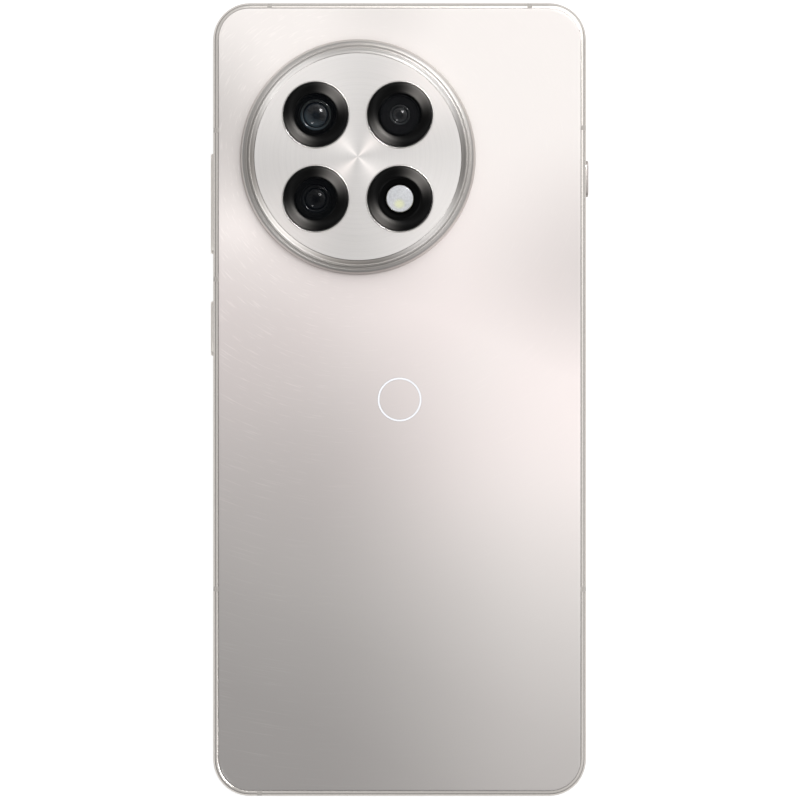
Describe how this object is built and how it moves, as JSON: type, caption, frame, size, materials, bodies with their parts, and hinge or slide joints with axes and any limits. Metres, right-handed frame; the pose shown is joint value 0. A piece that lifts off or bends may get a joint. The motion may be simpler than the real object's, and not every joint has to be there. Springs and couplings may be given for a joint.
{
  "type": "smartphone",
  "caption": "Slab smartphone with a flat metal rail, a round rear camera island, side keys, an alert slider, a USB-C port and a bottom SIM tray, lying on its screen.",
  "frame": {"origin": "middle of the screen face, which the phone lies on", "axes": "+Y to the top of the phone, +Z out of its back, +X to the right as seen from behind with the top up"},
  "size_m": [0.0772, 0.1616, 0.011],
  "materials": {
    "rail_metal": "fine matt anodised",
    "break_plastic": "matt, moulded into the rail",
    "back_glass": "silky pearl coating under satin glass",
    "mark_metal": "polished inlay",
    "ring_metal": "turned and polished",
    "plate_metal": "sunburst brushed",
    "bezel_metal": "black, spun finish",
    "lens_glass": "coated, clear",
    "flash_plastic": "diffusing",
    "led_board": "phosphor on white",
    "can_steel": "stamped sheet",
    "barrel_plastic": "black, anti-reflective",
    "guide_plastic": "glass-filled",
    "key_metal": "fine matt anodised",
    "seal_rubber": "matt",
    "flex_film": "polyimide film",
    "screen_glass": "black under gloss",
    "display_stack": "black",
    "adhesive_foam": "foam tape",
    "mesh_steel": "fine woven mesh",
    "copper": "satin",
    "pouch_foil": "foil pouch under black film",
    "board_laminate": "solder mask",
    "chip_resin": "moulded",
    "bracket_plastic": "glass-filled",
    "cable_jacket": "thin jacket",
    "tungsten": "sintered",
    "spring_steel": "rolled",
    "mic_gold": "plated can",
    "screw_steel": "black oxide"
  },
  "bodies": {
    "phone": {"mid_frame": "rail_metal", "antenna_breaks": "break_plastic", "back_cover": "back_glass", "back_cover_adhesive": "adhesive_foam", "back_mark": "mark_metal", "camera_ring": "ring_metal", "camera_plate": "plate_metal", "main_bezel": "bezel_metal", "wide_bezel": "bezel_metal", "tele_bezel": "bezel_metal", "flash_bezel": "bezel_metal", "lens_glasses": "lens_glass", "flash_lens": "flash_plastic", "flash_leds": "led_board", "main_camera_housing": "can_steel", "tele_camera_housing": "can_steel", "wide_camera_module": "barrel_plastic", "key_seals": "seal_rubber", "key_flex": "flex_film", "key_bracket": "can_steel", "slider_switch": "chip_resin", "screen_glass": "screen_glass", "screen_adhesive": "adhesive_foam", "oled_panel": "display_stack", "screen_flex": "flex_film", "front_camera": "barrel_plastic", "receiver": "can_steel", "earpiece_mesh": "mesh_steel", "vapour_chamber": "copper", "fingerprint_sensor": "chip_resin", "battery": "pouch_foil", "battery_flex": "flex_film", "main_board": "board_laminate", "board_chips": "chip_resin", "shield_cans": "can_steel", "board_bracket": "bracket_plastic", "nfc_coil": "flex_film", "sub_board": "board_laminate", "usb_shell": "can_steel", "usb_tongue": "barrel_plastic", "main_flex": "flex_film", "antenna_cables": "cable_jacket", "loudspeaker": "bracket_plastic", "speaker_mesh": "mesh_steel", "haptic_housing": "can_steel", "haptic_springs": "spring_steel", "sim_reader": "can_steel", "microphones": "mic_gold", "screws": "screw_steel"},
    "volume_rocker": {"volume_rocker": "key_metal"},
    "power_button": {"power_button": "key_metal"},
    "alert_slider": {"alert_slider": "key_metal"},
    "sim_tray": {"sim_tray": "key_metal"},
    "eject_rod": {"eject_rod": "spring_steel"},
    "eject_lever": {"eject_lever": "spring_steel"},
    "main_focus_carrier": {"main_focus_carrier": "guide_plastic"},
    "main_shift_guide": {"main_shift_guide": "guide_plastic"},
    "main_lens_barrel": {"main_lens_barrel": "barrel_plastic"},
    "tele_lens_barrel": {"tele_lens_barrel": "barrel_plastic"},
    "haptic_mass": {"haptic_mass": "tungsten"}
  },
  "joints": [
    {"name": "volume_tilt", "type": "hinge", "parent": "phone", "child": "volume_rocker", "pos_m": [-0.03715, 0.03995, 0.004], "axis": [0, 0, 1], "range_deg": [-1.5, 1.5], "stiffness_Nm_per_rad": 0.5},
    {"name": "power_press", "type": "slide", "parent": "phone", "child": "power_button", "axis": [1, 0, 0], "range_m": [0, 0.0003], "stiffness_N_per_m": 4000},
    {"name": "alert_slide", "type": "slide", "parent": "phone", "child": "alert_slider", "axis": [0, 1, 0], "range_m": [-0.0015, 0.0015]},
    {"name": "tray_slide", "type": "slide", "parent": "phone", "child": "sim_tray", "axis": [0, -1, 0], "range_m": [0, 0.016]},
    {"name": "rod_push", "type": "slide", "parent": "phone", "child": "eject_rod", "axis": [0, 1, 0], "range_m": [0, 0.0012]},
    {"name": "lever_turn", "type": "hinge", "parent": "phone", "child": "eject_lever", "pos_m": [0.0159, -0.0599, 0.004], "axis": [0, 0, -1], "range_deg": [0, 16.8]},
    {"name": "main_focus", "type": "slide", "parent": "phone", "child": "main_focus_carrier", "axis": [0, 0, 1], "range_m": [0, 0.00035], "stiffness_N_per_m": 60},
    {"name": "main_shift_x", "type": "slide", "parent": "main_focus_carrier", "child": "main_shift_guide", "axis": [1, 0, 0], "range_m": [-0.0002, 0.0002], "stiffness_N_per_m": 60},
    {"name": "main_shift_y", "type": "slide", "parent": "main_shift_guide", "child": "main_lens_barrel", "axis": [0, 1, 0], "range_m": [-0.0002, 0.0002], "stiffness_N_per_m": 60},
    {"name": "tele_focus", "type": "slide", "parent": "phone", "child": "tele_lens_barrel", "axis": [0, 0, 1], "range_m": [0, 0.00035], "stiffness_N_per_m": 60},
    {"name": "haptic_swing", "type": "slide", "parent": "phone", "child": "haptic_mass", "axis": [1, 0, 0], "range_m": [-0.0004, 0.0004], "stiffness_N_per_m": 1700}
  ],
  "couplings": [
    {"joint": "lever_turn", "follows": "rod_push", "rad_per_m": 243.9}
  ]
}
